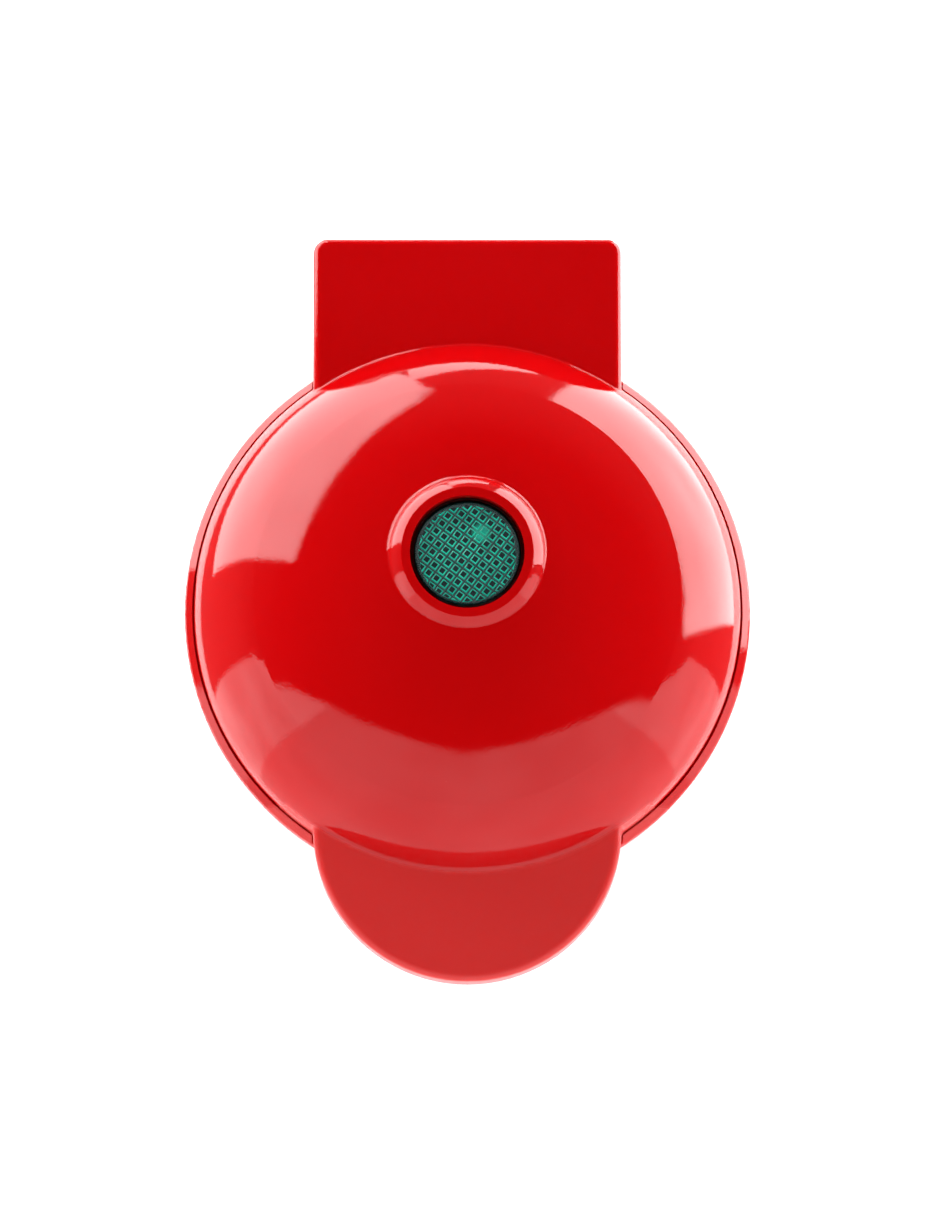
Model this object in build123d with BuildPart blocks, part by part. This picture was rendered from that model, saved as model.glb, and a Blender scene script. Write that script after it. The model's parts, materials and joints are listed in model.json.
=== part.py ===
from build123d import *
from math import atan2, cos, radians, sin, sqrt
import os

# A round countertop doughnut maker: a domed lid hinged on a round base, one ring mould between them.
#
# Frame: millimetres, +Z up, the origin on the table under the centre of the round body, the lid's
# handle towards -Y and the hinge towards +Y. The lid is closed.

os.makedirs("parts", exist_ok=True)

# ---------------------------------------------------------------- driving dimensions
body_radius = 63.5           # outside of the base's rim, a 5 inch body
body_reach = 84.5            # from the centre to the handle's tip, and to the hinge cover's end
wall = 2.3                   # moulded wall of both shells
running_gap = 0.4            # between parts of the lid and of the base that face each other

# heights above the table
shell_bottom = 3.0           # the rubber feet lift the body this far
base_deck = 33.2             # red deck around the lower plate
lower_face = 34.1            # face of the lower baking plate
upper_face = lower_face + running_gap
lid_edge = base_deck + running_gap   # lower edge of the lid's dome
rim_top = 34.5               # top of the base's rim around the lid
tab_top = 40.0               # flat tops of the handle and the hinge cover
dome_top = 69.0
collar_top = 70.4

# the dome: a wide crown, a tighter shoulder and a foot that turns vertical above the lid's edge
dome_radius = 61.3
crown_radius = 85.0
shoulder_radius = 35.0
foot_arc_radius = 8.0
foot_arc_z = 34.6

# the handle and the hinge cover of the lid
handle_radius = 34.3
cover_half_width = 34.7
cover_corner = 3.2
tab_edge_round = 1.7
cover_junction_round = 0.7
handle_junction_round = 2.0

# the indicator in the lid, a little behind the dome's centre
lens_y = 6.2
lens_radius = 12.45
lens_hole_radius = 12.6
collar_crest_radius = 14.5   # the collar's flat crest ends here and its convex side begins
collar_seat_radius = 14.3    # the lens flange seats in this counterbore from below

# the ring mould
ring_radius = 28.5           # centre line of the doughnut
ring_half_width = 14.0
ring_depth = 12.0
plate_wall = 2.6
flange_radius = 54.0
flange_thickness = 2.5

# the hinge
hinge_y = 72.0
hinge_z = 30.5
pin_radius = 2.0
knuckle_radius = 5.5
fixed_fit = 0.02             # pin in the base's knuckles
running_fit = 0.06           # pin in the lid's knuckles


def export(piece, name):
    """Label a finished piece and write it as a STEP file of the same name."""
    piece.part.label = name
    export_step(piece.part, f"parts/{name}.step")


def round_plane(angle):
    """The vertical plane through the Z axis at this angle: its own x points outwards, its y up."""
    a = radians(angle)
    return Plane(origin=(0, 0, 0), x_dir=(cos(a), sin(a), 0), z_dir=(sin(a), -cos(a), 0))


def depth_plane(face, direction):
    """A section plane at a plate's face: its x points along +X, its y from the face into the plate."""
    return Plane(origin=(0, 0, face), x_dir=(1, 0, 0), z_dir=(0, -direction, 0))


# ---------------------------------------------------------------- the dome's section
# Three arcs, each tangent to the next. The crown's centre is on the axis and the foot's is above the
# lid's edge. They give the triangle whose third corner is the shoulder's centre.
crown_z = dome_top - crown_radius
foot_arc_x = dome_radius - foot_arc_radius
crown_to_shoulder = crown_radius - shoulder_radius
shoulder_to_foot = shoulder_radius - foot_arc_radius
crown_to_foot = sqrt(foot_arc_x**2 + (foot_arc_z - crown_z) ** 2)
corner_cosine = (crown_to_shoulder**2 + crown_to_foot**2 - shoulder_to_foot**2) / (
    2 * crown_to_shoulder * crown_to_foot
)
corner_angle = atan2(sqrt(1 - corner_cosine**2), corner_cosine)
shoulder_angle = atan2(foot_arc_x, foot_arc_z - crown_z) - corner_angle
shoulder_x = crown_to_shoulder * sin(shoulder_angle)
shoulder_z = crown_z + crown_to_shoulder * cos(shoulder_angle)
foot_angle = atan2(foot_arc_x - shoulder_x, foot_arc_z - shoulder_z)


def crown_height(radius):
    """Height of the crown's surface at a distance from the axis."""
    return crown_z + sqrt(crown_radius**2 - radius**2)


def on_arc(centre, radius, angle):
    """Point of a section arc. The angle is from straight up towards the outside."""
    return (centre[0] + radius * sin(angle), centre[1] + radius * cos(angle))


def arc_points(centre, radius, start, end):
    """Start, middle and end of a section arc."""
    return [on_arc(centre, radius, angle) for angle in (start, (start + end) / 2, end)]


def dome_section(inset):
    """Half section of the dome above the lid's edge, inset from its outer surface."""
    crown = arc_points((0, crown_z), crown_radius - inset, 0, shoulder_angle)
    shoulder = arc_points((shoulder_x, shoulder_z), shoulder_radius - inset, shoulder_angle, foot_angle)
    foot = arc_points((foot_arc_x, foot_arc_z), foot_arc_radius - inset, foot_angle, radians(90))
    with BuildSketch(Plane.XZ) as section:
        with BuildLine():
            ThreePointArc(*crown)
            ThreePointArc(crown[-1], shoulder[1], shoulder[-1])
            ThreePointArc(shoulder[-1], foot[1], foot[-1])
            Polyline(foot[-1], (dome_radius - inset, lid_edge), (0, lid_edge), crown[0])
        make_face()
    return section.sketch


def cover_outline(inset):
    """Plan of the hinge cover behind the dome, with rounded rear corners."""
    half_width = cover_half_width - inset
    rear = body_reach - inset
    with BuildSketch() as outline:
        with Locations((0, rear / 2)):
            Rectangle(2 * half_width, rear)
        fillet(outline.vertices().group_by(Axis.Y)[-1], cover_corner - inset)
    return outline.sketch


def handle_outline(inset):
    """Plan of the handle: straight sides that end in a half circle."""
    radius = handle_radius - inset
    half_circle_y = -(body_reach - handle_radius)
    with BuildSketch() as outline:
        with Locations((0, half_circle_y)):
            Circle(radius)
        with Locations((0, half_circle_y / 2)):
            Rectangle(2 * radius, -half_circle_y)
    return outline.sketch


# ---------------------------------------------------------------- lid shell
cover_wall_bottom = 33.0
lug_inner_x = 14.0
lug_width = 6.0
rib_x = 14.0
rib_thickness = 1.6
collar_side_radius = 8.0     # the collar's convex side, in section
collar_side_start = radians(34)
collar_side_end = radians(85)
collar_crest_round = 0.3
collar_foot_round = 0.8
collar_skirt_bottom = 62.5
collar_skirt_radius = 16.7
lens_seat = 65.5

lens_section = Plane(origin=(0, lens_y, 0), x_dir=(1, 0, 0), z_dir=(0, -1, 0))
lens_axis = Axis((0, lens_y, 0), (0, 0, 1))

with BuildPart() as lid_shell:
    with BuildSketch(Plane.XY.offset(cover_wall_bottom)):
        add(cover_outline(0))
    extrude(amount=tab_top - cover_wall_bottom)
    with BuildSketch(Plane.XY.offset(lid_edge)):
        add(handle_outline(0))
    extrude(amount=tab_top - lid_edge)
    fillet(lid_shell.edges().group_by(Axis.Z)[-1], tab_edge_round)
    with BuildSketch(Plane.XY.offset(cover_wall_bottom)):
        Circle(dome_radius)
    extrude(amount=lid_edge - cover_wall_bottom, mode=Mode.SUBTRACT)
    add(revolve(dome_section(0), axis=Axis.Z, mode=Mode.PRIVATE))
    junctions = lid_shell.edges().filter_by_position(Axis.Z, tab_top - 0.01, tab_top + 0.01)
    junctions = junctions.filter_by(GeomType.BSPLINE).sort_by(Axis.Y)
    fillet(junctions[-1], cover_junction_round)
    fillet(junctions[0], handle_junction_round)

    # raised collar around the indicator
    side_centre = (
        collar_crest_radius - collar_side_radius * sin(collar_side_start),
        collar_top - collar_side_radius * cos(collar_side_start),
    )
    side = arc_points(side_centre, collar_side_radius, collar_side_start, collar_side_end)
    with BuildSketch(lens_section):
        with BuildLine():
            Polyline((0, side[-1][1]), (0, collar_top), side[0])
            ThreePointArc(*side)
            Line(side[-1], (0, side[-1][1]))
        make_face()
    revolve(axis=lens_axis)
    collar_crest = lid_shell.edges().group_by(Axis.Z)[-1]
    fillet(collar_crest, collar_crest_round)
    collar_foot = lid_shell.edges().filter_by(
        lambda edge: crown_height(2 * collar_crest_radius) < edge.center().Z < collar_top - 1
    )
    fillet(collar_foot, collar_foot_round)

    # hollow inside of the dome, and the two trays under the tabs
    add(revolve(dome_section(wall), axis=Axis.Z, mode=Mode.PRIVATE), mode=Mode.SUBTRACT)
    with BuildSketch(Plane.XY.offset(cover_wall_bottom)):
        add(cover_outline(wall))
        Circle(dome_radius, mode=Mode.SUBTRACT)
    extrude(amount=tab_top - wall - cover_wall_bottom, mode=Mode.SUBTRACT)
    with BuildSketch(Plane.XY.offset(cover_wall_bottom)):
        add(handle_outline(wall))
        Circle(dome_radius, mode=Mode.SUBTRACT)
    extrude(amount=tab_top - wall - cover_wall_bottom, mode=Mode.SUBTRACT)

    # collar's tube inside the dome, its lens hole and the counterbore for the lens flange
    with BuildSketch(Plane.XY.offset(collar_skirt_bottom)):
        with Locations((0, lens_y)):
            Circle(collar_skirt_radius)
    extrude(amount=lens_seat - collar_skirt_bottom)
    with BuildSketch(Plane.XY.offset(collar_skirt_bottom)):
        with Locations((0, lens_y)):
            Circle(lens_hole_radius)
    extrude(amount=collar_top - collar_skirt_bottom, mode=Mode.SUBTRACT)
    with BuildSketch(Plane.XY.offset(collar_skirt_bottom)):
        with Locations((0, lens_y)):
            Circle(collar_seat_radius)
    extrude(amount=lens_seat - collar_skirt_bottom, mode=Mode.SUBTRACT)

    # hinge lugs that hang from the cover around the pin
    for side in (-1, 1):
        with BuildSketch(Plane.YZ.offset(side * (lug_inner_x + lug_width / 2))):
            with Locations((hinge_y, hinge_z)):
                Circle(knuckle_radius)
            with Locations((hinge_y, (hinge_z + tab_top - wall / 2) / 2)):
                Rectangle(2 * knuckle_radius, tab_top - wall / 2 - hinge_z)
            with Locations((hinge_y, hinge_z)):
                Circle(pin_radius + running_fit, mode=Mode.SUBTRACT)
        extrude(amount=lug_width / 2, both=True)

    # stiffening ribs in the handle's tray
    for x in (-rib_x, 0, rib_x):
        with BuildSketch(Plane.XY.offset(lid_edge + 1)):
            with Locations((x, -(dome_radius + body_reach) / 2 + 1)):
                Rectangle(rib_thickness, body_reach - dome_radius - 2)
            add(handle_outline(wall / 2), mode=Mode.INTERSECT)
        extrude(amount=tab_top - wall / 2 - lid_edge - 1)

export(lid_shell, "lid_shell")


# ---------------------------------------------------------------- base shell
base_foot_radius = 56.5
block_half_width = 30.0      # hinge and cord block behind the base
block_rear = 70.0
block_bottom = 5.0
block_top = 24.0
block_corner = 3.0
arm_front = 57.0
plate_ledge = lower_face - flange_thickness
ledge_bottom = plate_ledge - flange_thickness
ledge_radius = 53.0
floor_radius = 54.4          # opening for the bottom cover
floor_thickness = 2.0
chamber_bottom = shell_bottom + floor_thickness + 0.2
rim_inner_radius = 61.65
rim_land = 0.1               # level top of the rim, inside its 45 degree outer slope
rim_round = 1.2
rim_foot = 31.2              # below this the rim turns in to the bowl
bowl_side = (62.2, 29.0)
bowl_bulge = (60.9, 14.0)
chamber_side = (59.8, ledge_bottom)
chamber_bulge = (58.6, 15.0)
notch_gap = 0.4
cover_notch_floor = 32.5
notch_inner_radius = 60.8
inlet_z = 12.4
inlet_hole_radius = 4.2
outer_knuckle_inner = lug_inner_x + lug_width + 1.0
outer_knuckle_outer = 29.0
knuckle_spans = (
    (-outer_knuckle_outer, -outer_knuckle_inner),
    (-(lug_inner_x - 1.0), lug_inner_x - 1.0),
    (outer_knuckle_inner, outer_knuckle_outer),
)
floor_screw_circle = 50.4
floor_boss_radius = 3.2
floor_boss_top = 13.0
floor_boss_rib = 6.5         # web from each boss out to the wall
screw_radius = 1.4
thread_radius = 1.45


def block_outline(inset):
    """Plan of the block behind the base."""
    rear = block_rear - inset
    with BuildSketch() as outline:
        with Locations((0, rear / 2)):
            Rectangle(2 * (block_half_width - inset), rear)
        fillet(outline.vertices().group_by(Axis.Y)[-1], block_corner - inset / 2)
    return outline.sketch


# the rim's outer slope runs at 45 degrees from its top into the round at its edge
slope_top_x = rim_inner_radius + rim_land
slope_foot_x = body_radius - rim_round * (1 - sin(radians(45)))
slope_foot_z = rim_top - (slope_foot_x - slope_top_x)
rim_round_centre = (body_radius - rim_round, slope_foot_z - rim_round * cos(radians(45)))
rim_edge = arc_points(rim_round_centre, rim_round, radians(45), radians(90))

with BuildPart() as base_shell:
    with BuildSketch(Plane.XZ):
        with BuildLine():
            Line((0, shell_bottom), (base_foot_radius, shell_bottom))
            ThreePointArc((base_foot_radius, shell_bottom), bowl_bulge, bowl_side)
            Polyline(bowl_side, (body_radius, rim_foot), rim_edge[-1])
            ThreePointArc(*rim_edge)
            Polyline(
                rim_edge[0],
                (slope_top_x, rim_top),
                (rim_inner_radius, rim_top),
                (rim_inner_radius, base_deck),
                (0, base_deck),
                (0, shell_bottom),
            )
        make_face()
    revolve(axis=Axis.Z)
    with BuildSketch(Plane.XY.offset(block_bottom)):
        add(block_outline(0))
    extrude(amount=block_top - block_bottom)

    # arms and knuckles of the hinge
    for start, end in knuckle_spans:
        with BuildSketch(Plane.YZ.offset(start)):
            with Locations(((arm_front + hinge_y) / 2, (block_top + base_deck) / 2)):
                Rectangle(hinge_y - arm_front, base_deck - block_top)
            with Locations((hinge_y, hinge_z)):
                Circle(knuckle_radius)
        extrude(amount=end - start)

    # inside of the bowl: opening for the floor, chamber, ledge and opening for the plate
    with BuildSketch(Plane.XZ):
        with BuildLine():
            Polyline((0, 0), (floor_radius, 0), (floor_radius, chamber_bottom))
            ThreePointArc((floor_radius, chamber_bottom), chamber_bulge, chamber_side)
            Polyline(
                chamber_side,
                (ledge_radius, ledge_bottom),
                (ledge_radius, plate_ledge),
                (flange_radius + running_gap, plate_ledge),
                (flange_radius + running_gap, base_deck + 1),
                (0, base_deck + 1),
                (0, 0),
            )
        make_face()
    revolve(axis=Axis.Z, mode=Mode.SUBTRACT)

    # inside of the block, with the hole for the cord's bushing
    with BuildSketch(Plane.XY.offset(block_bottom + wall)):
        add(block_outline(wall))
        with Locations((0, floor_radius / 2)):
            Rectangle(2 * block_half_width, floor_radius - 8, mode=Mode.SUBTRACT)
    extrude(amount=block_top - block_bottom - 2 * wall, mode=Mode.SUBTRACT)
    with BuildSketch(Plane.XZ.offset(-block_rear)):
        with Locations((0, inlet_z)):
            Circle(inlet_hole_radius)
    extrude(amount=2 * wall, both=True, mode=Mode.SUBTRACT)

    # the rim stops on both sides of the lid's hinge cover and of its handle
    for side, half_width, floor in (
        (1, cover_half_width, cover_notch_floor),
        (-1, handle_radius, base_deck),
    ):
        with BuildSketch(Plane.XY.offset(floor)):
            with Locations((0, side * body_radius / 2)):
                Rectangle(2 * (half_width + notch_gap), body_radius)
            Circle(notch_inner_radius, mode=Mode.SUBTRACT)
            Circle(body_radius + 1, mode=Mode.INTERSECT)
        extrude(amount=rim_top - floor + 1, mode=Mode.SUBTRACT)

    # bore for the hinge pin
    with BuildSketch(Plane.YZ):
        with Locations((hinge_y, hinge_z)):
            Circle(pin_radius + fixed_fit)
    extrude(amount=2 * block_half_width, both=True, mode=Mode.SUBTRACT)

    # bosses for the screws of the bottom cover
    with BuildSketch(Plane.XY.offset(shell_bottom + floor_thickness)):
        with PolarLocations(floor_screw_circle, 3, start_angle=-90):
            Circle(floor_boss_radius)
            with Locations((floor_boss_rib / 2, 0)):
                Rectangle(floor_boss_rib, rib_thickness)
            Circle(thread_radius, mode=Mode.SUBTRACT)
    extrude(amount=floor_boss_top - shell_bottom - floor_thickness)

export(base_shell, "base_shell")

# ---------------------------------------------------------------- bottom cover, feet and their screws
floor_fit = 0.3
foot_circle = 42.0
foot_radius = 6.5
foot_taper = 10
foot_round = 0.6
peg_radius = 2.5
peg_fit = 0.05
slot_length = 22.0
slot_width = 2.4
slot_pitch = 6.0
screw_head_radius = 2.5
screw_head_height = 1.8
cross_length = 1.7
cross_width = 0.7
cross_depth = 1.0
floor_screw_length = 8.0

with BuildPart() as bottom_cover:
    with BuildSketch(Plane.XY.offset(shell_bottom)):
        Circle(floor_radius - floor_fit)
        with PolarLocations(foot_circle, 4, start_angle=45):
            Circle(peg_radius + peg_fit, mode=Mode.SUBTRACT)
        with PolarLocations(floor_screw_circle, 3, start_angle=-90):
            Circle(screw_radius + floor_fit, mode=Mode.SUBTRACT)
        with GridLocations(0, slot_pitch, 1, 5):
            SlotOverall(slot_length, slot_width, mode=Mode.SUBTRACT)
    extrude(amount=floor_thickness)
    with BuildSketch(Plane.XY.offset(shell_bottom)):
        with PolarLocations(floor_screw_circle, 3, start_angle=-90):
            Circle(screw_head_radius + floor_fit)
    extrude(amount=floor_thickness / 2, mode=Mode.SUBTRACT)

export(bottom_cover, "bottom_cover")

with BuildPart() as rubber_feet:
    with BuildSketch(Plane.XY.offset(shell_bottom)):
        with PolarLocations(foot_circle, 4, start_angle=45):
            Circle(foot_radius)
    extrude(amount=-shell_bottom, taper=foot_taper)
    fillet(rubber_feet.edges().group_by(Axis.Z)[0], foot_round)
    with BuildSketch(Plane.XY.offset(shell_bottom)):
        with PolarLocations(foot_circle, 4, start_angle=45):
            Circle(peg_radius)
    extrude(amount=floor_thickness)

export(rubber_feet, "rubber_feet")


def screws(circle, count, start_angle, head_z, direction, length):
    """Pan head screws on a circle: heads at head_z, shanks in this direction along Z."""
    with BuildPart() as group:
        with BuildSketch(Plane.XY.offset(head_z)):
            with PolarLocations(circle, count, start_angle=start_angle):
                Circle(screw_radius)
        extrude(amount=direction * length)
        with BuildSketch(Plane.XY.offset(head_z)):
            with PolarLocations(circle, count, start_angle=start_angle):
                Circle(screw_head_radius)
        extrude(amount=-direction * screw_head_height)
        with BuildSketch(Plane.XY.offset(head_z - direction * screw_head_height)):
            with PolarLocations(circle, count, start_angle=start_angle):
                Rectangle(2 * cross_length, cross_width)
                Rectangle(cross_width, 2 * cross_length)
        extrude(amount=direction * cross_depth, mode=Mode.SUBTRACT)
    return group


floor_screw_seat = shell_bottom + floor_thickness / 2
floor_screws = screws(floor_screw_circle, 3, -90, floor_screw_seat, 1, floor_screw_length)
export(floor_screws, "floor_screws")


# ---------------------------------------------------------------- the two baking plates
plate_boss_circle = 50.2
plate_boss_radius = 2.4
plate_boss_height = flange_thickness
plate_screw_depth = 3.6
groove_inner = 46.5
groove_outer = 49.5
groove_depth = 0.8
plate_edge_round = 0.5


def baking_plate(face, direction):
    """Half of the ring mould: flange, ring channel and middle post, with screw bosses on its back.

    direction is -1 for the lower plate, whose body goes down from its face, and +1 for the upper.
    """
    inner = ring_radius - ring_half_width
    outer = ring_radius + ring_half_width
    with BuildPart() as plate:
        with BuildSketch(depth_plane(face, direction)):
            with BuildLine():
                Line((0, 0), (inner, 0))
                ThreePointArc((inner, 0), (ring_radius, ring_depth), (outer, 0))
                Polyline(
                    (outer, 0),
                    (groove_inner, 0),
                    (groove_inner + groove_depth, groove_depth),
                    (groove_outer - groove_depth, groove_depth),
                    (groove_outer, 0),
                    (flange_radius, 0),
                    (flange_radius, flange_thickness),
                    (outer + plate_wall, flange_thickness),
                )
                ThreePointArc(
                    (outer + plate_wall, flange_thickness),
                    (ring_radius, ring_depth + plate_wall),
                    (inner - plate_wall, flange_thickness),
                )
                Polyline((inner - plate_wall, flange_thickness), (0, flange_thickness), (0, 0))
            make_face()
        revolve(axis=Axis.Z)
        at_face = plate.edges().filter_by_position(Axis.Z, face - 0.01, face + 0.01)
        fillet(at_face.filter_by(lambda edge: edge.radius > groove_outer + 1), plate_edge_round)
        fillet(at_face.filter_by(lambda edge: edge.radius < groove_inner - 1), plate_edge_round)
        with BuildSketch(Plane.XY.offset(face + direction * flange_thickness)):
            with PolarLocations(plate_boss_circle, 4, start_angle=45):
                Circle(plate_boss_radius)
        extrude(amount=direction * plate_boss_height)
        with BuildSketch(Plane.XY.offset(face + direction * (flange_thickness + plate_boss_height))):
            with PolarLocations(plate_boss_circle, 4, start_angle=45):
                Circle(thread_radius)
        extrude(amount=-direction * plate_screw_depth, mode=Mode.SUBTRACT)
    return plate


# ---------------------------------------------------------------- heating elements
element_tube_radius = 3.0
element_depth = ring_depth + plate_wall + element_tube_radius + 0.05
element_gap_angle = 44
pin_tail_radius = 1.1
pin_tail_length = 5.5


def heating_element(face, direction):
    """Tubular element that follows the back of the ring, open at the rear, with two terminal tails."""
    z = face + direction * element_depth
    start_angle = 90 + element_gap_angle / 2
    with BuildPart() as element:
        with BuildSketch(round_plane(start_angle)):
            with Locations((ring_radius, z)):
                Circle(element_tube_radius)
        revolve(axis=Axis.Z, revolution_arc=360 - element_gap_angle)
        for side in (-1, 1):
            angle = radians(90 - side * element_gap_angle / 2)
            end = (ring_radius * cos(angle), ring_radius * sin(angle), z)
            tangent = (-side * sin(angle), side * cos(angle), 0)
            with BuildSketch(Plane(origin=end, z_dir=tangent)):
                Circle(pin_tail_radius)
            extrude(amount=pin_tail_length)
    return element


# ---------------------------------------------------------------- heat shields
shield_sheet = 0.8
shield_depth = element_depth + element_tube_radius + 0.8
shield_shoulder = 11.5
shield_inner_radius = 46.5
shield_floor_radius = 35.7
shield_flange_radius = 55.0
shield_flange_depth = flange_thickness + plate_boss_height
wire_hole_radius = 3.0
wire_hole_x = 9.0
wire_hole_y = 33.0


def heat_shield(face, direction):
    """Sheet steel pan behind the element. Its flange is screwed to the plate's bosses."""
    with BuildPart() as shield:
        with BuildSketch(depth_plane(face, direction)):
            with BuildLine():
                Polyline(
                    (0, shield_depth),
                    (shield_floor_radius, shield_depth),
                    (shield_inner_radius, shield_shoulder),
                    (shield_inner_radius, shield_flange_depth),
                    (shield_flange_radius, shield_flange_depth),
                    (shield_flange_radius, shield_flange_depth + shield_sheet),
                    (shield_inner_radius + shield_sheet, shield_flange_depth + shield_sheet),
                    (shield_inner_radius + shield_sheet, shield_shoulder + shield_sheet / 2),
                    (shield_floor_radius + shield_sheet / 2, shield_depth + shield_sheet),
                    (0, shield_depth + shield_sheet),
                    (0, shield_depth),
                )
            make_face()
        revolve(axis=Axis.Z)
        with BuildSketch(Plane.XY.offset(face)):
            with PolarLocations(plate_boss_circle, 4, start_angle=45):
                Circle(screw_radius + 0.2)
            with Locations((-wire_hole_x, wire_hole_y), (wire_hole_x, wire_hole_y)):
                Circle(wire_hole_radius)
        extrude(amount=direction * 2 * shield_depth, mode=Mode.SUBTRACT)
    return shield


for level, face, direction in (("lower", lower_face, -1), ("upper", upper_face, 1)):
    export(baking_plate(face, direction), f"{level}_plate")
    export(heating_element(face, direction), f"{level}_heating_element")
    export(heat_shield(face, direction), f"{level}_heat_shield")
    screw_seat = face + direction * (shield_flange_depth + shield_sheet)
    plate_screws = screws(plate_boss_circle, 4, 45, screw_seat, -direction, plate_screw_depth)
    export(plate_screws, f"{level}_plate_screws")


# ---------------------------------------------------------------- lid liner
liner_bottom = lid_edge + 0.2
liner_ledge = upper_face + flange_thickness
liner_top = upper_face + shield_flange_depth
liner_foot_radius = 58.2
liner_top_radius = 56.6

with BuildPart() as lid_liner:
    with BuildSketch(Plane.XZ):
        with BuildLine():
            Polyline(
                (flange_radius + running_gap, liner_bottom),
                (liner_foot_radius, liner_bottom),
                (liner_top_radius, liner_top),
                (ledge_radius, liner_top),
                (ledge_radius, liner_ledge),
                (flange_radius + running_gap, liner_ledge),
                (flange_radius + running_gap, liner_bottom),
            )
        make_face()
    revolve(axis=Axis.Z)

export(lid_liner, "lid_liner")


# ---------------------------------------------------------------- indicator in the lid
lens_flange_radius = 14.0
lens_flange_thickness = 1.3
lens_edge_z = 68.9
lens_crown = 0.9
lens_edge_round = 0.8
lens_hollow_radius = 11.5
lens_hollow_top = 67.0
prism_radius = 11.2
prism_plate_bottom = 64.7
prism_plate_top = 65.4
prism_pitch = 2.2
prism_height = 1.1
prism_turn = 35
lamp_cup_bottom = 57.6
lamp_cup_top = lens_seat - lens_flange_thickness - 0.1
lamp_cup_sheet = 0.8
lamp_radius = 1.95
lamp_length = 12.0
lamp_z = 61.4
board_length = 17.0
board_width = 8.0
board_thickness = 1.0
board_top = lamp_cup_bottom + lamp_cup_sheet + board_thickness

with BuildPart() as indicator_lens:
    with BuildSketch(Plane.XY.offset(lens_seat - lens_flange_thickness)):
        with Locations((0, lens_y)):
            Circle(lens_flange_radius)
    extrude(amount=lens_flange_thickness)
    with BuildSketch(lens_section):
        with BuildLine():
            Polyline((0, lens_seat), (lens_radius, lens_seat), (lens_radius, lens_edge_z))
            ThreePointArc(
                (lens_radius, lens_edge_z),
                (lens_radius / 2, lens_edge_z + 0.75 * lens_crown),
                (0, lens_edge_z + lens_crown),
            )
            Line((0, lens_edge_z + lens_crown), (0, lens_seat))
        make_face()
    revolve(axis=lens_axis)
    lens_rim = indicator_lens.edges().filter_by_position(Axis.Z, lens_edge_z - 0.01, lens_edge_z + 0.01)
    fillet(lens_rim, lens_edge_round)
    with BuildSketch(Plane.XY.offset(lens_seat - lens_flange_thickness)):
        with Locations((0, lens_y)):
            Circle(lens_hollow_radius)
    extrude(amount=lens_hollow_top - lens_seat + lens_flange_thickness, mode=Mode.SUBTRACT)

export(indicator_lens, "indicator_lens")

with BuildPart() as prism_plate:
    with BuildSketch(Plane.XY.offset(prism_plate_bottom)):
        with Locations((0, lens_y)):
            Circle(prism_radius)
    extrude(amount=prism_plate_top - prism_plate_bottom)
    with BuildSketch(Plane.XY.offset(prism_plate_top)) as prism_feet:
        with Locations(Location((0, lens_y), prism_turn)):
            with GridLocations(prism_pitch, prism_pitch, 7, 7):
                Rectangle(prism_pitch * 0.8, prism_pitch * 0.8)
    extrude(amount=prism_height, taper=20)

export(prism_plate, "prism_plate")

with BuildPart() as lamp_cup:
    with BuildSketch(Plane.XY.offset(lamp_cup_bottom)):
        with Locations((0, lens_y)):
            Circle(lens_hollow_radius)
    extrude(amount=lamp_cup_top - lamp_cup_bottom)
    with BuildSketch(Plane.XY.offset(lamp_cup_bottom + lamp_cup_sheet)):
        with Locations((0, lens_y)):
            Circle(lens_hollow_radius - lamp_cup_sheet)
    extrude(amount=lamp_cup_top - lamp_cup_bottom, mode=Mode.SUBTRACT)

export(lamp_cup, "lamp_cup")

with BuildPart() as lamp_board:
    with BuildSketch(Plane.XY.offset(board_top - board_thickness)):
        with Locations((0, lens_y)):
            RectangleRounded(board_length, board_width, 1.0)
    extrude(amount=board_thickness)

export(lamp_board, "lamp_board")

with BuildPart() as indicator_lamp:
    with BuildSketch(Plane.YZ.offset(-lamp_length / 2)):
        with Locations((lens_y, lamp_z)):
            Circle(lamp_radius)
    extrude(amount=lamp_length)

export(indicator_lamp, "indicator_lamp")


# ---------------------------------------------------------------- electrical parts in the base
thermostat_radius = 8.0
thermostat_height = 6.0
thermostat_top = plate_ledge
tab_terminal_length = 3.5
tab_terminal_width = 4.0
tab_terminal_sheet = 0.8
fuse_radius = 2.0
fuse_length = 14.0
fuse_y = -14.0
fuse_z = 8.6
terminal_block_size = (24.0, 9.0, 9.0)
terminal_block_y = 58.5
terminal_block_z = 12.0
terminal_hole_radius = 1.6
terminal_hole_pitch = 8.0

with BuildPart() as thermostat:
    with BuildSketch(Plane.XY.offset(thermostat_top)):
        Circle(thermostat_radius)
    extrude(amount=-thermostat_height)
    fillet(thermostat.edges().group_by(Axis.Z)[0], 0.6)
    for side in (-1, 1):
        with BuildSketch(Plane.XY.offset(thermostat_top - thermostat_height)):
            with Locations((side * thermostat_radius / 2, 0)):
                Rectangle(tab_terminal_sheet, tab_terminal_width)
        extrude(amount=-tab_terminal_length)

export(thermostat, "thermostat")

with BuildPart() as thermal_fuse:
    with BuildSketch(Plane.YZ.offset(-fuse_length / 2)):
        with Locations((fuse_y, fuse_z)):
            Circle(fuse_radius)
    extrude(amount=fuse_length)
    fillet(thermal_fuse.edges().filter_by(GeomType.CIRCLE), 0.5)

export(thermal_fuse, "thermal_fuse")

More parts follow.
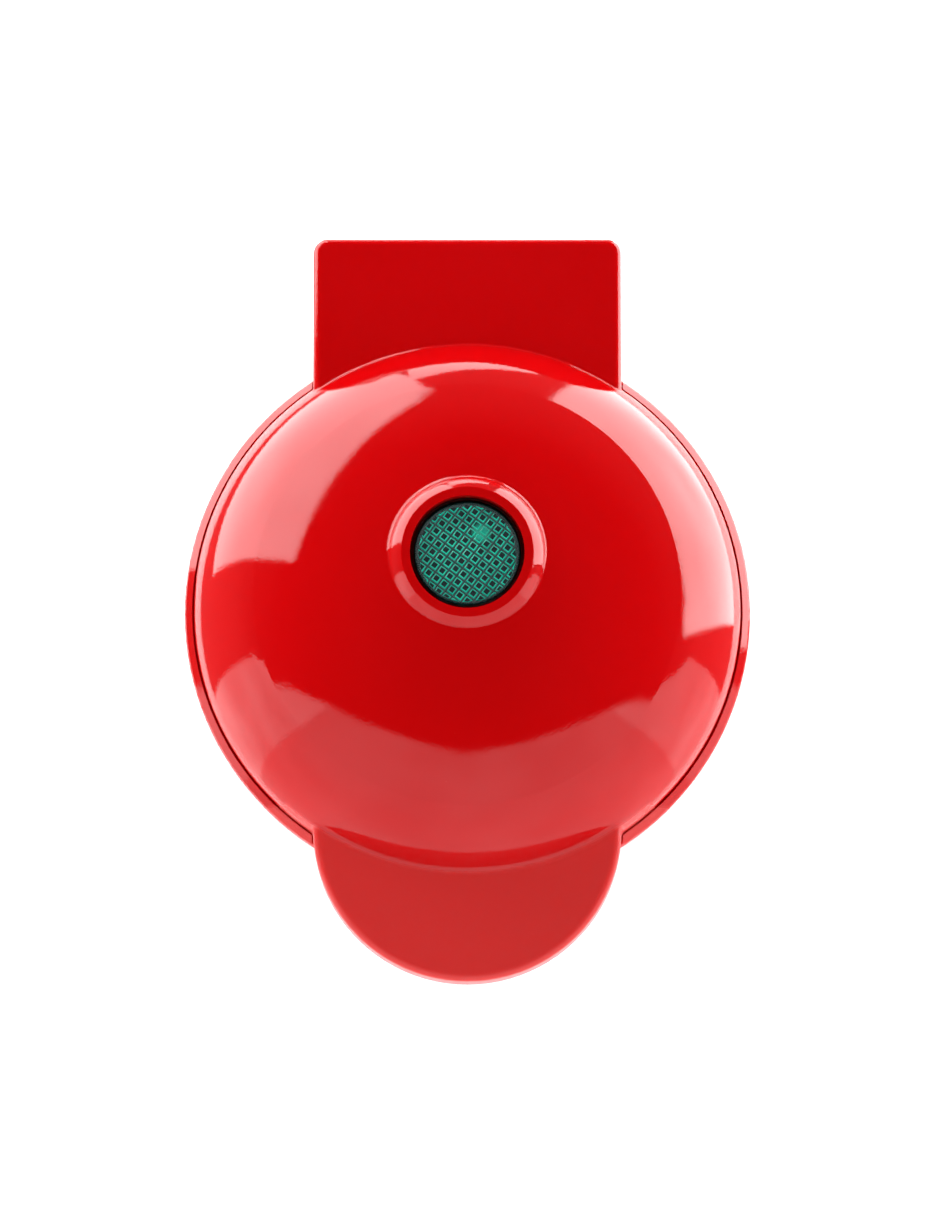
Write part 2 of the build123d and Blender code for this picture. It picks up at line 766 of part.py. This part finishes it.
with BuildPart() as terminal_block:
    with Locations((0, terminal_block_y, terminal_block_z)):
        Box(*terminal_block_size)
    fillet(terminal_block.edges().filter_by(Axis.Z), 0.8)
    with BuildSketch(Plane.XZ.offset(-terminal_block_y)):
        with Locations((0, terminal_block_z)):
            with GridLocations(terminal_hole_pitch, 0, 3, 1):
                Circle(terminal_hole_radius)
    extrude(amount=terminal_block_size[1], both=True, mode=Mode.SUBTRACT)

export(terminal_block, "terminal_block")


# ---------------------------------------------------------------- bushing for the cord
bushing_bore = 3.2
bushing_flange_radius = 5.4
bushing_flange = 1.5
bushing_neck_radius = inlet_hole_radius - 0.05

with BuildPart() as cord_bushing:
    with BuildSketch(Plane.XZ.offset(-(block_rear + bushing_flange))):
        with Locations((0, inlet_z)):
            Circle(bushing_flange_radius)
    extrude(amount=bushing_flange)
    fillet(cord_bushing.edges().filter_by(GeomType.CIRCLE).group_by(Axis.Y)[-1], 0.6)
    with BuildSketch(Plane.XZ.offset(-block_rear)):
        with Locations((0, inlet_z)):
            Circle(bushing_neck_radius)
    extrude(amount=wall + bushing_flange)
    with BuildSketch(Plane.XZ.offset(-(block_rear - wall))):
        with Locations((0, inlet_z)):
            Circle(bushing_neck_radius + 0.7)
    extrude(amount=bushing_flange)
    with BuildSketch(Plane.XZ.offset(-block_rear)):
        with Locations((0, inlet_z)):
            Circle(bushing_bore)
    extrude(amount=2 * bushing_flange + wall, both=True, mode=Mode.SUBTRACT)

export(cord_bushing, "cord_bushing")


# ---------------------------------------------------------------- hinge pin and its clips
pin_half_length = 31.4
clip_radius = 4.0
clip_sheet = 0.8
clip_x = 29.2
clip_mouth = 2.2
clip_groove_radius = 1.6

with BuildPart() as hinge_pin:
    with BuildSketch(Plane.YZ):
        with Locations((hinge_y, hinge_z)):
            Circle(pin_radius)
    extrude(amount=pin_half_length, both=True)
    chamfer(hinge_pin.edges().filter_by(GeomType.CIRCLE), 0.4)
    for side in (-1, 1):
        with BuildSketch(Plane.YZ.offset(side * clip_x)):
            with Locations((hinge_y, hinge_z)):
                Circle(pin_radius)
                Circle(clip_groove_radius, mode=Mode.SUBTRACT)
        extrude(amount=side * (clip_sheet + 0.1), mode=Mode.SUBTRACT)

export(hinge_pin, "hinge_pin")

with BuildPart() as hinge_clips:
    for side in (-1, 1):
        with BuildSketch(Plane.YZ.offset(side * (clip_x + 0.05))):
            with Locations((hinge_y, hinge_z)):
                Circle(clip_radius)
                Circle(clip_groove_radius + fixed_fit, mode=Mode.SUBTRACT)
            with Locations((hinge_y, hinge_z - clip_radius / 2)):
                Rectangle(clip_mouth, clip_radius, mode=Mode.SUBTRACT)
        extrude(amount=side * clip_sheet)

export(hinge_clips, "hinge_clips")
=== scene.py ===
"""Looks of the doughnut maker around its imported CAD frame: materials, lens lattice, studio and camera."""
import json
import math

import bmesh
import bpy
from mathutils import Matrix, Vector


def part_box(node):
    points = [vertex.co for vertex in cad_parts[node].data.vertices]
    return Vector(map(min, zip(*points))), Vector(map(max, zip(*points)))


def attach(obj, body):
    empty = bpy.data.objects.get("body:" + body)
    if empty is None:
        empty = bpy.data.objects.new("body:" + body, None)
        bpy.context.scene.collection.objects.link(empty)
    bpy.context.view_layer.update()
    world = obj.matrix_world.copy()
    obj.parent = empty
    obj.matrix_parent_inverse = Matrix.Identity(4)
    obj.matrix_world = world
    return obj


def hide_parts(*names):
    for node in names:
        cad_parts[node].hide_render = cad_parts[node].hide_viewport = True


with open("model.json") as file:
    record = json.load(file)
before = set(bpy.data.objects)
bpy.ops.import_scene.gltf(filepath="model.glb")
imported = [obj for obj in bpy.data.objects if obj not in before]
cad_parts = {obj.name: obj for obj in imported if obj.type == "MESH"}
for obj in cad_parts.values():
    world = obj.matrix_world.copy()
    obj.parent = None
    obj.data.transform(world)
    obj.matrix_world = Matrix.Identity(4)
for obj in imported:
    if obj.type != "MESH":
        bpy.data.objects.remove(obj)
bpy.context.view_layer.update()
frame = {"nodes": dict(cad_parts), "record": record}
nodes = frame["nodes"]

MM = 0.001

# the handle's paler, duller zone: outside this circle, in front of this line
PALE_HANDLE_RADIUS = 59.8 * MM
PALE_HANDLE_FRONT = -45.0 * MM

# the prism under the lens: a lattice of small truncated pyramids
PRISM_PITCH = 2.1 * MM
PRISM_TURN = math.radians(-36.7)
PRISM_HEIGHT = 1.05 * MM
PRISM_PROFILE = ((0.96, 0.0), (0.78, 0.46), (0.57, 0.90), (0.53, 1.0))    # half side in mm, share of height
PRISM_LIFT = 0.01 * MM       # keeps the pyramids' open feet clear of the plate
PRISM_FILL = 0.955           # share of the plate's radius that the lattice covers
PLATE_SIDES = 72
PAINTED_GLINT_OFFSET = (3.1 * MM, 4.6 * MM)   # a painted highlight: a brighter patch of the lattice, from the prism's centre
LENS_PAINTED_SHADE_RADIUS = 11.3 * MM           # painted shade: outside this circle the lens is tinted almost black, in place of the shade of its side wall

CAMERA_DISTANCE = 1.512
CAMERA_ELEVATION = 79.1      # degrees above the table
CAMERA_LENS = 200.0
CAMERA_SENSOR = 36.0
CAMERA_SHIFT = Vector((0.6 * MM, 0.3 * MM, 0.0))    # aim, from the middle of the rim

# studio panels: name, corners as (azimuth, elevation) seen from the dome, distance in m, dimmest, brightest.
# Azimuth runs from +Y towards +X; all angles are in degrees.
SOFTBOXES = (
    ("softbox_left", ((-69, 31), (-8, 12), (-20, -34), (-73, -24)), 0.62, 4.4, 5.4),
    ("softbox_right", ((19, 8), (91, 15), (80, -42), (24, -42)), 0.62, 4.8, 6.6),
    ("strip_rear", ((-12, -1), (14, -13), (14, -24), (-12, -24)), 0.62, 4.0, 4.8),
    ("front_left", ((-180, 47), (-120, 38), (-120, -50), (-180, -50)), 0.9, 0.95, 1.2),
    ("front_right", ((180, 47), (120, 36), (120, -50), (180, -50)), 0.9, 0.95, 1.2),
    ("side_left", ((-120, 38), (-96, 16), (-98, -45), (-120, -50)), 0.9, 1.5, 2.3),
    ("side_right", ((120, 36), (96, 8), (98, -45), (120, -50)), 0.9, 1.4, 2.1),
)
DOME_HEIGHT = 50.0 * MM      # the panels' elevations are taken from this height

TURNTABLE_RADIUS = 105.0 * MM
FLOOR_RADIUS = 3.0
FLOOR_DROP = 0.4 * MM        # the floor lies this far below the turntable
BACKDROP_HEIGHT = 3.0
STAGE_SIDES = 96


# ---------------------------------------------------------------- shader helpers
class Shader:
    """A small builder for one node material."""

    def __init__(self, name):
        self.material = bpy.data.materials.new(name)
        self.material.use_nodes = True
        self.tree = self.material.node_tree
        self.surface = self.tree.nodes["Principled BSDF"]
        self.place = self.node("ShaderNodeTexCoord").outputs["Object"]

    def node(self, kind, **settings):
        made = self.tree.nodes.new(kind)
        for key, value in settings.items():
            setattr(made, key, value)
        return made

    def link(self, source, target):
        self.tree.links.new(source, target)

    def put(self, **values):
        """Sets plain values on the shader's own sockets; underscores in a name stand for spaces."""
        for key, value in values.items():
            self.surface.inputs[key.replace("_", " ")].default_value = value

    def use(self, **sockets):
        """Links finished sockets to the surface shader; underscores in a name stand for spaces."""
        for key, socket in sockets.items():
            self.link(socket, self.surface.inputs[key.replace("_", " ")])

    def noise(self, scale, detail=3.0):
        """Soft noise; the scale is in cells per metre."""
        made = self.node("ShaderNodeTexNoise")
        made.inputs["Scale"].default_value = scale
        made.inputs["Detail"].default_value = detail
        self.link(self.place, made.inputs["Vector"])
        return made.outputs["Fac"]

    def cells(self, scale):
        """Distance to the nearest of many scattered points."""
        made = self.node("ShaderNodeTexVoronoi")
        made.inputs["Scale"].default_value = scale
        self.link(self.place, made.inputs["Vector"])
        return made.outputs["Distance"]

    def ramp(self, factor, *stops):
        """Colour ramp: each stop is (position, colour)."""
        made = self.node("ShaderNodeValToRGB")
        band = made.color_ramp
        while len(band.elements) < len(stops):
            band.elements.new(0.5)
        for element, (position, colour) in zip(band.elements, stops):
            element.position = position
            element.color = (*colour, 1.0)
        self.link(factor, made.inputs["Fac"])
        return made.outputs["Color"]

    def span(self, factor, low_in, high_in, low, high):
        """Maps low_in to low and high_in to high, and stops there."""
        made = self.node("ShaderNodeMapRange")
        for key, value in (("From Min", low_in), ("From Max", high_in), ("To Min", low), ("To Max", high)):
            made.inputs[key].default_value = value
        self.link(factor, made.inputs["Value"])
        return made.outputs["Result"]

    def blend(self, factor, first, second, mode="MIX"):
        """Mix of two colours, each a socket or a plain colour."""
        made = self.node("ShaderNodeMix", data_type="RGBA", blend_type=mode)
        pairs = ((made.inputs["Factor"], factor), (made.inputs[6], first), (made.inputs[7], second))
        for socket, value in pairs:
            if isinstance(value, bpy.types.NodeSocket):
                self.link(value, socket)
            elif isinstance(value, tuple):
                socket.default_value = (*value, 1.0)
            else:
                socket.default_value = value
        return made.outputs[2]

    def blend_value(self, factor, first, second):
        """Mix of a socket's number and a plain one."""
        made = self.node("ShaderNodeMix", data_type="FLOAT")
        self.link(factor, made.inputs["Factor"])
        self.link(first, made.inputs[2])
        made.inputs[3].default_value = second
        return made.outputs[0]

    def times(self, first, second):
        made = self.node("ShaderNodeMath", operation="MULTIPLY")
        self.link(first, made.inputs[0])
        self.link(second, made.inputs[1])
        return made.outputs["Value"]

    def axis(self, name):
        """Position along one axis."""
        split = self.node("ShaderNodeSeparateXYZ")
        self.link(self.place, split.inputs["Vector"])
        return split.outputs[name]

    def distance_in_plan(self, centre):
        """Distance from a point, leaving the height out."""
        away = self.node("ShaderNodeVectorMath", operation="SUBTRACT")
        away.inputs[1].default_value = centre
        self.link(self.place, away.inputs[0])
        flat = self.node("ShaderNodeVectorMath", operation="MULTIPLY")
        flat.inputs[1].default_value = (1.0, 1.0, 0.0)
        self.link(away.outputs["Vector"], flat.inputs[0])
        length = self.node("ShaderNodeVectorMath", operation="LENGTH")
        self.link(flat.outputs["Vector"], length.inputs[0])
        return length.outputs["Value"]

    def pale_handle_zone(self):
        """1 on the lid's handle, 0 elsewhere: outside the dome's circle and in front of it."""
        ahead = self.span(self.axis("Y"), PALE_HANDLE_FRONT + 1.0 * MM, PALE_HANDLE_FRONT, 0.0, 1.0)
        from_axis = self.distance_in_plan((0.0, 0.0, 0.0))
        outside = self.span(from_axis, PALE_HANDLE_RADIUS, PALE_HANDLE_RADIUS + 0.6 * MM, 0.0, 1.0)
        return self.times(ahead, outside)

    def bump(self, height, distance, strength=1.0, onto=None):
        """Relief; distance is the height's full reach in metres."""
        made = self.node("ShaderNodeBump")
        made.inputs["Distance"].default_value = distance
        made.inputs["Strength"].default_value = strength
        self.link(height, made.inputs["Height"])
        if onto:
            self.link(onto, made.inputs["Normal"])
        return made.outputs["Normal"]


# ---------------------------------------------------------------- materials
def red_gloss():
    """Glossy red moulding: orange peel, a few specks of dust, and a paler, duller handle."""
    s = Shader("red_gloss")
    s.put(IOR=1.5, Subsurface_Weight=0.6, Subsurface_Scale=1.4 * MM, Subsurface_Radius=(1.0, 0.15, 0.12))
    shade = s.ramp(s.noise(18, 3), (0.35, (0.62, 0.0015, 0.0025)), (0.7, (0.66, 0.002, 0.0035)))
    pale_handle = s.pale_handle_zone()
    shade = s.blend(pale_handle, shade, (0.74, 0.032, 0.030))
    specks = s.span(s.cells(420), 0.0, 0.04, 1.0, 0.0)
    dusty_spots = s.span(s.noise(70, 1), 0.64, 0.68, 0.0, 0.45)
    s.use(Base_Color=s.blend(s.times(specks, dusty_spots), shade, (0.8, 0.25, 0.22)))
    polish = s.span(s.noise(55, 4), 0.3, 0.7, 0.03, 0.08)
    s.use(Roughness=s.blend_value(pale_handle, polish, 0.34))
    swell = s.bump(s.noise(150, 1), 0.02 * MM, 0.6)
    s.use(Normal=s.bump(s.noise(1500, 2), 0.012 * MM, 1.0, onto=swell))
    return s.material


def grained(name, dark, light, rough, grain=1400, depth=0.03 * MM):
    """Moulded plastic or rubber with a fine eroded grain."""
    s = Shader(name)
    s.put(IOR=1.48)
    s.use(Base_Color=s.ramp(s.noise(90, 4), (0.3, dark), (0.75, light)))
    s.use(Roughness=s.span(s.noise(220, 3), 0.3, 0.7, rough, rough + 0.12))
    s.use(Normal=s.bump(s.noise(grain, 2), depth, 0.6))
    return s.material


def nonstick():
    """Dark non-stick coat over cast metal, with a pale fleck and a soft pebbled surface."""
    s = Shader("nonstick")
    s.put(IOR=1.45, Specular_IOR_Level=0.6)
    coat = s.ramp(s.noise(35, 4), (0.3, (0.018, 0.017, 0.018)), (0.75, (0.032, 0.031, 0.032)))
    fleck = s.span(s.cells(1100), 0.0, 0.09, 0.55, 0.0)
    s.use(Base_Color=s.blend(fleck, coat, (0.20, 0.19, 0.19)))
    s.use(Roughness=s.span(s.noise(160, 3), 0.3, 0.7, 0.28, 0.42))
    s.use(Normal=s.bump(s.noise(700, 3), 0.04 * MM, 0.5))
    return s.material


def steel(name, dark, light, rough, scale=60):
    """Plain steel, unevenly tarnished, with a fine tooth."""
    s = Shader(name)
    s.put(Metallic=1.0)
    s.use(Base_Color=s.ramp(s.noise(scale, 5), (0.3, dark), (0.7, light)))
    s.use(Roughness=s.span(s.noise(scale * 4, 3), 0.3, 0.7, rough, rough + 0.15))
    s.use(Normal=s.bump(s.noise(900, 2), 0.02 * MM, 0.4))
    return s.material


def clear_plastic(name, colour, rough, painted_shade_rim=None):
    """Clear moulded plastic with slight flow marks; painted_shade_rim is (centre, radius, colour outside
    it), the colour outside being painted shade.
    """
    s = Shader(name)
    s.put(Transmission_Weight=1.0, IOR=1.49)
    shade = s.ramp(s.noise(120, 2), (0.3, colour), (0.8, tuple(min(1.0, c * 1.1) for c in colour)))
    if painted_shade_rim:
        centre, radius, painted_shade_colour = painted_shade_rim
        # painted shade: beyond the radius the tint turns to the given dark colour
        outside = s.span(s.distance_in_plan(centre), radius - 0.2 * MM, radius + 0.2 * MM, 0.0, 1.0)
        shade = s.blend(outside, shade, painted_shade_colour)
    s.use(Base_Color=shade)
    s.use(Roughness=s.span(s.noise(200, 2), 0.3, 0.7, rough, rough + 0.03))
    s.use(Normal=s.bump(s.noise(150, 1), 0.01 * MM, 0.3))
    see_through = s.node("ShaderNodeBsdfTransparent")
    see_through.inputs["Color"].default_value = (*colour, 1.0)
    either = s.node("ShaderNodeMixShader")
    s.link(s.node("ShaderNodeLightPath").outputs["Is Shadow Ray"], either.inputs["Fac"])
    s.link(s.surface.outputs["BSDF"], either.inputs[1])
    s.link(see_through.outputs["BSDF"], either.inputs[2])
    s.link(either.outputs["Shader"], s.tree.nodes["Material Output"].inputs["Surface"])
    return s.material


def prism_green():
    """Teal pyramids with painted light and shade: painted shade in the grooves, dim slopes, a painted
    highlight on the shoulder, a flat top in painted shade and a faint painted glow, though the prism is no
    lamp.
    """
    s = Shader("prism_green")
    s.put(IOR=1.5, Specular_IOR_Level=0.3)
    level = s.span(s.axis("Z"), prism_base, prism_base + PRISM_HEIGHT, 0.0, 1.0)
    # painted light and shade: the colour steps with height up each pyramid, dark in the grooves and on top,
    # dim on the slopes, bright at the shoulder
    slope = (0.001, 0.24, 0.20)
    painted_shoulder_highlight = (0.05, 0.95, 0.70)
    painted_top_shade = (0.001, 0.006, 0.009)
    painted_light_bands = s.ramp(level, (0.0, painted_top_shade), (0.10, painted_top_shade), (0.16, slope), (0.46, slope),
                   (0.54, painted_shoulder_highlight), (0.87, painted_shoulder_highlight), (0.94, painted_top_shade))
    # painted highlight: the lattice turns paler green in a patch near the prism's centre
    painted_glint = s.span(s.distance_in_plan(painted_glint_spot), 1.2 * MM, 2.4 * MM, 0.6, 0.0)
    uneven = s.ramp(s.noise(330, 2), (0.3, (0.55, 0.62, 0.62)), (0.7, (1.0, 1.0, 1.0)))
    shade = s.blend(1.0, s.blend(painted_glint, painted_light_bands, (0.02, 0.70, 0.50)), uneven, "MULTIPLY")
    # painted glow: the prism gives off a faint light in its own colours, though it is no lamp
    s.use(Base_Color=shade, Emission_Color=shade)
    s.put(Emission_Strength=0.2)
    s.use(Roughness=s.span(s.noise(200, 2), 0.3, 0.7, 0.2, 0.35))
    s.use(Normal=s.bump(s.noise(900, 1), 0.004 * MM, 0.5))
    return s.material


prism_low, prism_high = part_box("prism_plate")
# the lattice stands on top of the CAD plate's own prisms, so its tops reach 0.56 mm into the lens
prism_base = prism_high.z
prism_centre = Vector(((prism_low.x + prism_high.x) / 2, (prism_low.y + prism_high.y) / 2, 0.0))
painted_glint_spot = (prism_centre.x + PAINTED_GLINT_OFFSET[0], prism_centre.y + PAINTED_GLINT_OFFSET[1], 0.0)
prism_teal = prism_green()

finishes = {
    "red_shell": red_gloss(),
    "black_plastic": grained("black_plastic", (0.012, 0.012, 0.013), (0.022, 0.022, 0.023), 0.42),
    "black_rubber": grained(
        "black_rubber", (0.010, 0.010, 0.011), (0.020, 0.019, 0.020), 0.62, grain=900, depth=0.05 * MM
    ),
    "white_plastic": grained("white_plastic", (0.62, 0.61, 0.57), (0.72, 0.71, 0.67), 0.38),
    "board": grained("board", (0.20, 0.10, 0.03), (0.30, 0.16, 0.06), 0.5),
    "nonstick": nonstick(),
    "element_steel": steel("element_steel", (0.10, 0.08, 0.07), (0.26, 0.21, 0.17), 0.35, scale=40),
    "sheet_steel": steel("sheet_steel", (0.42, 0.42, 0.41), (0.60, 0.60, 0.58), 0.22),
    "screw_steel": steel("screw_steel", (0.45, 0.45, 0.45), (0.62, 0.61, 0.58), 0.25, scale=200),
    "ceramic_white": grained(
        "ceramic_white", (0.66, 0.64, 0.58), (0.76, 0.74, 0.68), 0.55, grain=700, depth=0.04 * MM
    ),
    "green_lens": clear_plastic(
        "lens_green", (0.75, 1.0, 0.97), 0.0, (tuple(prism_centre), LENS_PAINTED_SHADE_RADIUS, (0.0, 0.02, 0.018))
    ),
    "green_prism": prism_teal,
    "lamp_glass": clear_plastic("lamp_glass", (0.85, 0.55, 0.35), 0.02),
}
for subpart in frame["record"]["subparts"]:
    mesh = nodes[subpart["node"]].data
    mesh.materials.clear()
    mesh.materials.append(finishes[subpart["material_slot"]])


# ---------------------------------------------------------------- mesh helpers
def add_object(name, mesh):
    made = bpy.data.objects.new(name, mesh)
    bpy.context.collection.objects.link(made)
    return made


def circle(radius, height, sides):
    """Points of a level circle about the Z axis."""
    turns = [2 * math.pi * i / sides for i in range(sides)]
    return [Vector((radius * math.cos(turn), radius * math.sin(turn), height)) for turn in turns]


def add_loop(mesh, points, below=None):
    """One loop of vertices, joined by quads to the loop below it."""
    loop = [mesh.verts.new(point) for point in points]
    if below:
        for i in range(len(loop)):
            after = (i + 1) % len(loop)
            mesh.faces.new((below[i], below[after], loop[after], loop[i]))
    return loop


# ---------------------------------------------------------------- the prism under the lens
def drawn_in(point, radius):
    """The point, moved in to this radius if it lies beyond it."""
    across = math.hypot(point.x, point.y)
    if across > radius:
        return Vector((point.x * radius / across, point.y * radius / across, point.z))
    return point


def add_pyramid(mesh, middle, lattice, limit):
    """One truncated pyramid about this point of the plate, cut off where it passes the limit."""
    loop = None
    for half, share in PRISM_PROFILE:
        lift = Vector((0.0, 0.0, prism_base + PRISM_LIFT + share * PRISM_HEIGHT))
        corners = [lattice @ Vector((x * half * MM, y * half * MM, 0.0))
                   for x, y in ((-1, -1), (1, -1), (1, 1), (-1, 1))]
        points = [prism_centre + lift + drawn_in(middle + corner, limit) for corner in corners]
        loop = add_loop(mesh, points, loop)
    mesh.faces.new(loop)


def make_prism():
    """A round plate with a lattice of small pyramids; those at its edge are cut off by the circle."""
    mesh = bmesh.new()
    radius = (prism_high.x - prism_low.x) / 2
    under = circle(radius, prism_low.z, PLATE_SIDES)
    over = circle(radius, prism_base, PLATE_SIDES)
    foot = add_loop(mesh, [prism_centre + point for point in under])
    edge = add_loop(mesh, [prism_centre + point for point in over], foot)
    mesh.faces.new(foot[::-1])
    mesh.faces.new(edge)
    lattice = Matrix.Rotation(PRISM_TURN, 3, "Z")
    reach = math.ceil(radius / PRISM_PITCH)
    limit = radius * PRISM_FILL
    for column in range(-reach, reach + 1):
        for row in range(-reach, reach + 1):
            middle = lattice @ Vector((column * PRISM_PITCH, row * PRISM_PITCH, 0.0))
            if middle.length <= limit + 0.45 * PRISM_PITCH:
                add_pyramid(mesh, middle, lattice, limit)
    data = bpy.data.meshes.new("prism_lattice")
    mesh.to_mesh(data)
    mesh.free()
    data.materials.append(prism_teal)
    piece = add_object("prism_lattice", data)
    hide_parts("prism_plate")
    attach(piece, "lid")


# ---------------------------------------------------------------- stage
def floor_material():
    s = Shader("pale_floor")
    s.put(Specular_IOR_Level=0.2)
    s.use(Base_Color=s.ramp(s.noise(3, 2), (0.3, (0.90, 0.90, 0.90)), (0.7, (0.93, 0.93, 0.93))))
    s.use(Roughness=s.span(s.noise(20, 2), 0.3, 0.7, 0.7, 0.8))
    return s.material


def glow(name, low, high):
    """Emission of a cloth diffuser, a little uneven."""
    material = bpy.data.materials.new(name)
    material.use_nodes = True
    tree = material.node_tree
    tree.nodes.remove(tree.nodes["Principled BSDF"])
    emission = tree.nodes.new("ShaderNodeEmission")
    noise = tree.nodes.new("ShaderNodeTexNoise")
    noise.inputs["Scale"].default_value = 2.5
    place = tree.nodes.new("ShaderNodeTexCoord")
    span = tree.nodes.new("ShaderNodeMapRange")
    for key, value in (("From Min", 0.35), ("From Max", 0.65), ("To Min", low), ("To Max", high)):
        span.inputs[key].default_value = value
    tree.links.new(place.outputs["Object"], noise.inputs["Vector"])
    tree.links.new(noise.outputs["Fac"], span.inputs["Value"])
    tree.links.new(span.outputs["Result"], emission.inputs["Strength"])
    tree.links.new(emission.outputs["Emission"], tree.nodes["Material Output"].inputs["Surface"])
    return material


def make_disc(name, radius, height):
    """A level white disc that belongs to the studio."""
    mesh = bpy.data.meshes.new(name)
    mesh.from_pydata(circle(radius, height, STAGE_SIDES), [], [tuple(range(STAGE_SIDES))])
    mesh.materials.append(floor_material())
    made = add_object(name, mesh)
    return made


def make_backdrop():
    """A white wall around the floor for views from the side. It isn't mirrored and lights nothing."""
    mesh = bpy.data.meshes.new("backdrop")
    rings = circle(FLOOR_RADIUS, 0.0, STAGE_SIDES) + circle(FLOOR_RADIUS, BACKDROP_HEIGHT, STAGE_SIDES)
    walls = []
    for i in range(STAGE_SIDES):
        after = (i + 1) % STAGE_SIDES
        walls.append((i, after, STAGE_SIDES + after, STAGE_SIDES + i))
    mesh.from_pydata(rings, [], walls)
    mesh.materials.append(glow("backdrop_glow", 0.95, 1.05))
    made = add_object("backdrop", mesh)
    made.visible_glossy = False
    made.visible_diffuse = False
    made.visible_shadow = False


def make_stage():
    """The maker stands on a white turntable on a white floor. Of the two, only the turntable is mirrored."""
    make_disc("turntable", TURNTABLE_RADIUS, 0.0)
    floor = make_disc("floor", FLOOR_RADIUS, -FLOOR_DROP)
    floor.visible_glossy = False
    make_backdrop()


# ---------------------------------------------------------------- light
def aimed(azimuth, elevation, distance):
    """Point in this direction from the dome."""
    turn = math.radians(azimuth)
    rise = math.tan(math.radians(elevation))
    return (distance * math.sin(turn), distance * math.cos(turn), DOME_HEIGHT + distance * rise)


def softbox(name, corners, distance, low, high):
    """A four-sided diffuser that lights the maker and is mirrored in it, but isn't seen itself."""
    mesh = bpy.data.meshes.new(name)
    mesh.from_pydata([aimed(azimuth, rise, distance) for azimuth, rise in corners], [], [(0, 1, 2, 3)])
    mesh.materials.append(glow(name, low, high))
    panel = add_object(name, mesh)
    panel.visible_camera = False


def overhead_panel(name, height, side, radiance):
    """A level square light over the maker that isn't seen in reflections."""
    data = bpy.data.lights.new(name, "AREA")
    data.size = side
    data.energy = radiance * math.pi * side * side
    light = add_object(name, data)
    light.location = (0.0, 0.0, height)
    light.visible_camera = False
    light.visible_glossy = False
    return light


def make_lights():
    for name, corners, distance, low, high in SOFTBOXES:
        softbox(name, corners, distance, low, high)
    overhead_panel("overhead_fill", 1.0, 1.4, 1.02)
    # the floor has a light of its own, without shadows, so that it stays plain white
    floor_light = overhead_panel("floor_light", 1.2, 2.4, 3.0)
    floor_light.data.use_shadow = False
    only_floor = bpy.data.collections.new("floor_light_receivers")
    for name in ("floor", "turntable"):
        only_floor.objects.link(bpy.data.objects[name])
    floor_light.light_linking.receiver_collection = only_floor


def make_world():
    """Dim studio surround: a little light near the horizon, hardly any overhead."""
    world = bpy.data.worlds.new("studio")
    world.use_nodes = True
    tree = world.node_tree
    place = tree.nodes.new("ShaderNodeTexCoord")
    split = tree.nodes.new("ShaderNodeSeparateXYZ")
    ramp = tree.nodes.new("ShaderNodeValToRGB")
    for element, position, grey in zip(ramp.color_ramp.elements, (0.05, 0.5), (0.2, 0.01)):
        element.position = position
        element.color = (grey, grey, grey, 1.0)
    tree.links.new(place.outputs["Generated"], split.inputs["Vector"])
    tree.links.new(split.outputs["Z"], ramp.inputs["Fac"])
    tree.links.new(ramp.outputs["Color"], tree.nodes["Background"].inputs["Color"])
    bpy.context.scene.world = world


# ---------------------------------------------------------------- camera
def make_camera():
    """A long lens high in front of the maker, aimed at the middle of the rim."""
    data = bpy.data.cameras.new("camera")
    data.lens = CAMERA_LENS
    data.sensor_width = CAMERA_SENSOR
    camera = add_object("camera", data)
    low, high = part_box("base_shell")
    aim = Vector(((low.x + high.x) / 2, 0.0, high.z)) + CAMERA_SHIFT
    rise = math.radians(CAMERA_ELEVATION)
    back = Vector((0.0, -math.cos(rise), math.sin(rise)))
    camera.location = aim + back * CAMERA_DISTANCE
    camera.rotation_euler = (-back).to_track_quat("-Z", "Y").to_euler()
    bpy.context.scene.camera = camera


make_prism()
make_stage()
make_lights()
make_world()
make_camera()
bpy.context.scene.view_settings.view_transform = "Standard"
